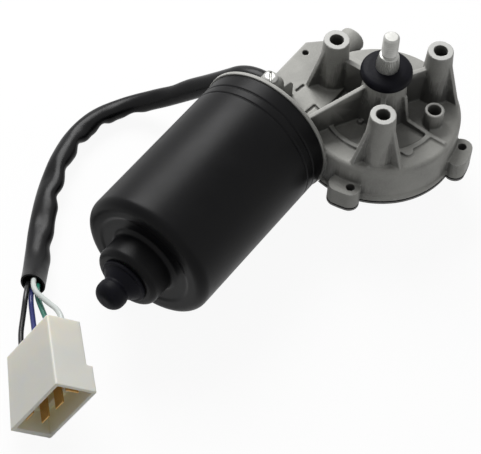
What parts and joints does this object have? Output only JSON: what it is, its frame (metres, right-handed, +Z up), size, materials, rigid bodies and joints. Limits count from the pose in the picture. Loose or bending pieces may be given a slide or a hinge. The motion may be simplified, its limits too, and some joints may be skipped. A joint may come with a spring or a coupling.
{
  "type": "wiper motor",
  "caption": "Worm-geared electric wiper motor with a round can, a cast gear case with mounting bosses, a tapered threaded output shaft and a sleeved lead with a plug.",
  "frame": {"origin": "centre of the mounting circle on the output axis, in the plane of the mounting bosses' faces", "axes": "+Z up the output shaft towards its threaded end; +X along the motor axis from the can towards the far end of the gear case; +Y completes the frame, from the output axis towards the motor axis"},
  "size_m": [0.283, 0.1794, 0.0977],
  "materials": {
    "cast_aluminium": "as-cast, matte",
    "black_paint": "satin",
    "zinc_steel": "zinc plated",
    "bright_steel": "ground",
    "spring_steel": "plain",
    "laminated_steel": "laminated",
    "sintered_bronze": "sintered",
    "brass": "rolled sheet",
    "copper": "drawn",
    "black_rubber": "moulded",
    "gasket_rubber": "cut sheet",
    "black_vinyl": "soft gloss",
    "black_insulation": "soft gloss",
    "blue_insulation": "soft gloss",
    "green_insulation": "soft gloss",
    "white_insulation": "soft gloss",
    "ivory_nylon": "moulded",
    "wheel_polymer": "moulded",
    "ferrite": "sintered",
    "carbon": "pressed",
    "insulator": "laminate"
  },
  "bodies": {
    "motor_body": {"gear_housing": "cast_aluminium", "housing_cover": "zinc_steel", "cover_gasket": "gasket_rubber", "cover_screws": "zinc_steel", "motor_can": "black_paint", "nose_boot": "black_rubber", "nose_bush": "sintered_bronze", "nose_bush_clip": "bright_steel", "field_magnets": "ferrite", "magnet_springs": "spring_steel", "flange_bush": "sintered_bronze", "worm_end_bush": "sintered_bronze", "thrust_ball": "bright_steel", "thrust_screw": "zinc_steel", "brush_plate": "insulator", "brush_holders": "brass", "brushes": "carbon", "brush_springs": "spring_steel", "suppressor_chokes": "copper", "upper_output_bush": "sintered_bronze", "lower_output_bush": "sintered_bronze", "contact_plate": "insulator", "contact_springs": "brass", "cable_grommet": "black_rubber", "earth_screw": "zinc_steel", "cable_sleeve": "black_vinyl", "wire_black": "black_insulation", "wire_blue": "blue_insulation", "wire_green": "green_insulation", "wire_white": "white_insulation", "connector_housing": "ivory_nylon", "connector_terminals": "brass"},
    "armature": {"armature_shaft": "bright_steel", "armature_core": "laminated_steel", "armature_winding": "copper", "commutator_hub": "insulator", "commutator_bars": "copper", "armature_washer": "bright_steel"},
    "output": {"worm_wheel": "wheel_polymer", "wheel_washer": "bright_steel", "park_disc": "brass", "output_shaft": "zinc_steel", "output_washer": "bright_steel", "output_circlip": "bright_steel", "shaft_cap": "black_rubber"}
  },
  "joints": [
    {"name": "armature_spin", "type": "hinge", "parent": "motor_body", "child": "armature", "pos_m": [0, 0.0405, -0.04], "axis": [1, 0, 0], "continuous": true},
    {"name": "output_spin", "type": "hinge", "parent": "motor_body", "child": "output", "pos_m": [0, 0, 0], "axis": [0, 0, 1], "continuous": true}
  ],
  "couplings": [
    {"joint": "output_spin", "follows": "armature_spin", "ratio": 0.02}
  ]
}
